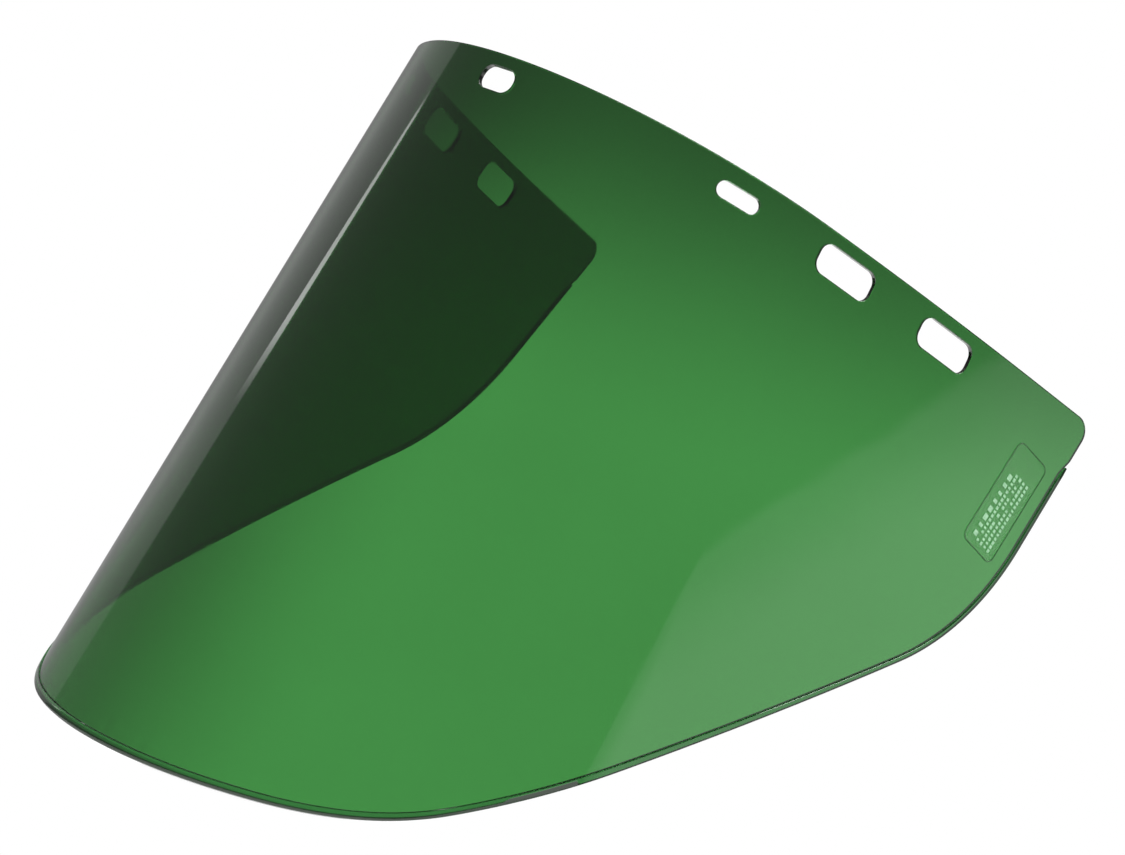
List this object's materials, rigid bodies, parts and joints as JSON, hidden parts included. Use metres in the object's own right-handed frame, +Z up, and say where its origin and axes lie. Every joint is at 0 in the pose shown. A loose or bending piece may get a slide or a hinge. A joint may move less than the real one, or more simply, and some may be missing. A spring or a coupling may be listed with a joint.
{
  "type": "face shield window",
  "caption": "Clear green face shield window: one sheet bent round the face, slotted along the top to hang from a headgear, with a beaded lower edge.",
  "frame": {"origin": "centre of the centre slot, on the outer face of the sheet", "axes": "+Z up as worn, +X to the wearer's left, the wearer looks along -Y"},
  "size_m": [0.224, 0.181, 0.2292],
  "materials": {
    "green_sheet": "clear green polycarbonate, polished both sides",
    "green_bead": "the same green, twice as thick, polished",
    "frosted_label": "clear with a fine frosted print"
  },
  "bodies": {
    "root": {"window_sheet": "green_sheet", "rim_bead": "green_bead", "marking_label": "frosted_label"}
  },
  "joints": []
}
